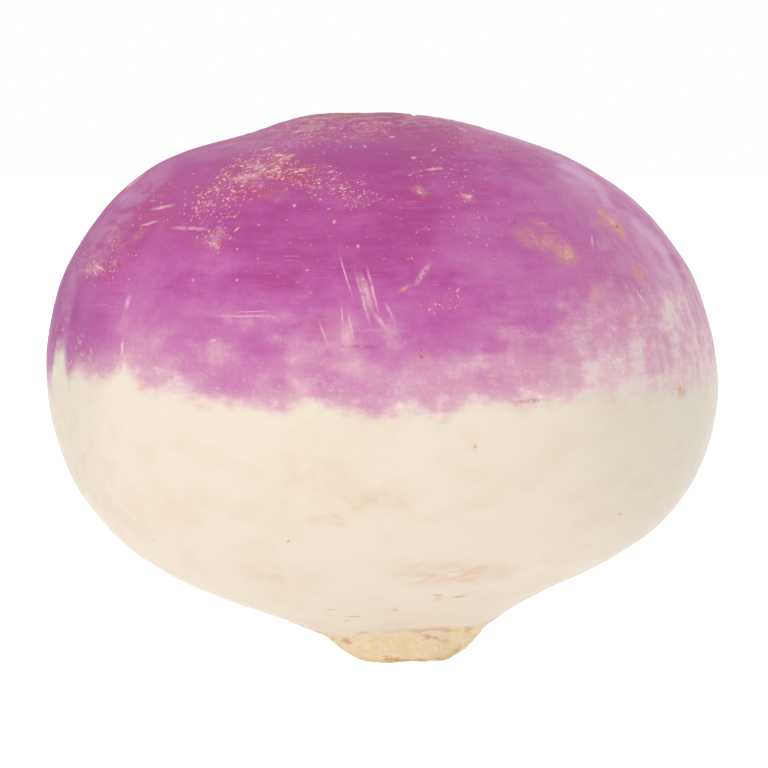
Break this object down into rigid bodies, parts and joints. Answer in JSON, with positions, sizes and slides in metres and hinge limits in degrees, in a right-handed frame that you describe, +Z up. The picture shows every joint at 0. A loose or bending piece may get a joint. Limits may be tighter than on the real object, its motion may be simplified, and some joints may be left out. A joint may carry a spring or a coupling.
{
  "type": "turnip",
  "caption": "Purple-top turnip root, topped and tailed: a squat round bulb with a low crown scar above and a short trimmed root below that it stands on.",
  "frame": {"origin": "on the surface that the turnip stands on, under the middle of the bulb's bounding box", "axes": "+Z up through the crown, -Y towards the side that was seen, +X to that side's right"},
  "size_m": [0.09, 0.0868, 0.0735],
  "materials": {
    "turnip_skin": "smooth satin root skin, magenta-purple above and cream below, with a rough tan cut at the foot"
  },
  "bodies": {
    "root": {"turnip_root": "turnip_skin"}
  },
  "joints": []
}
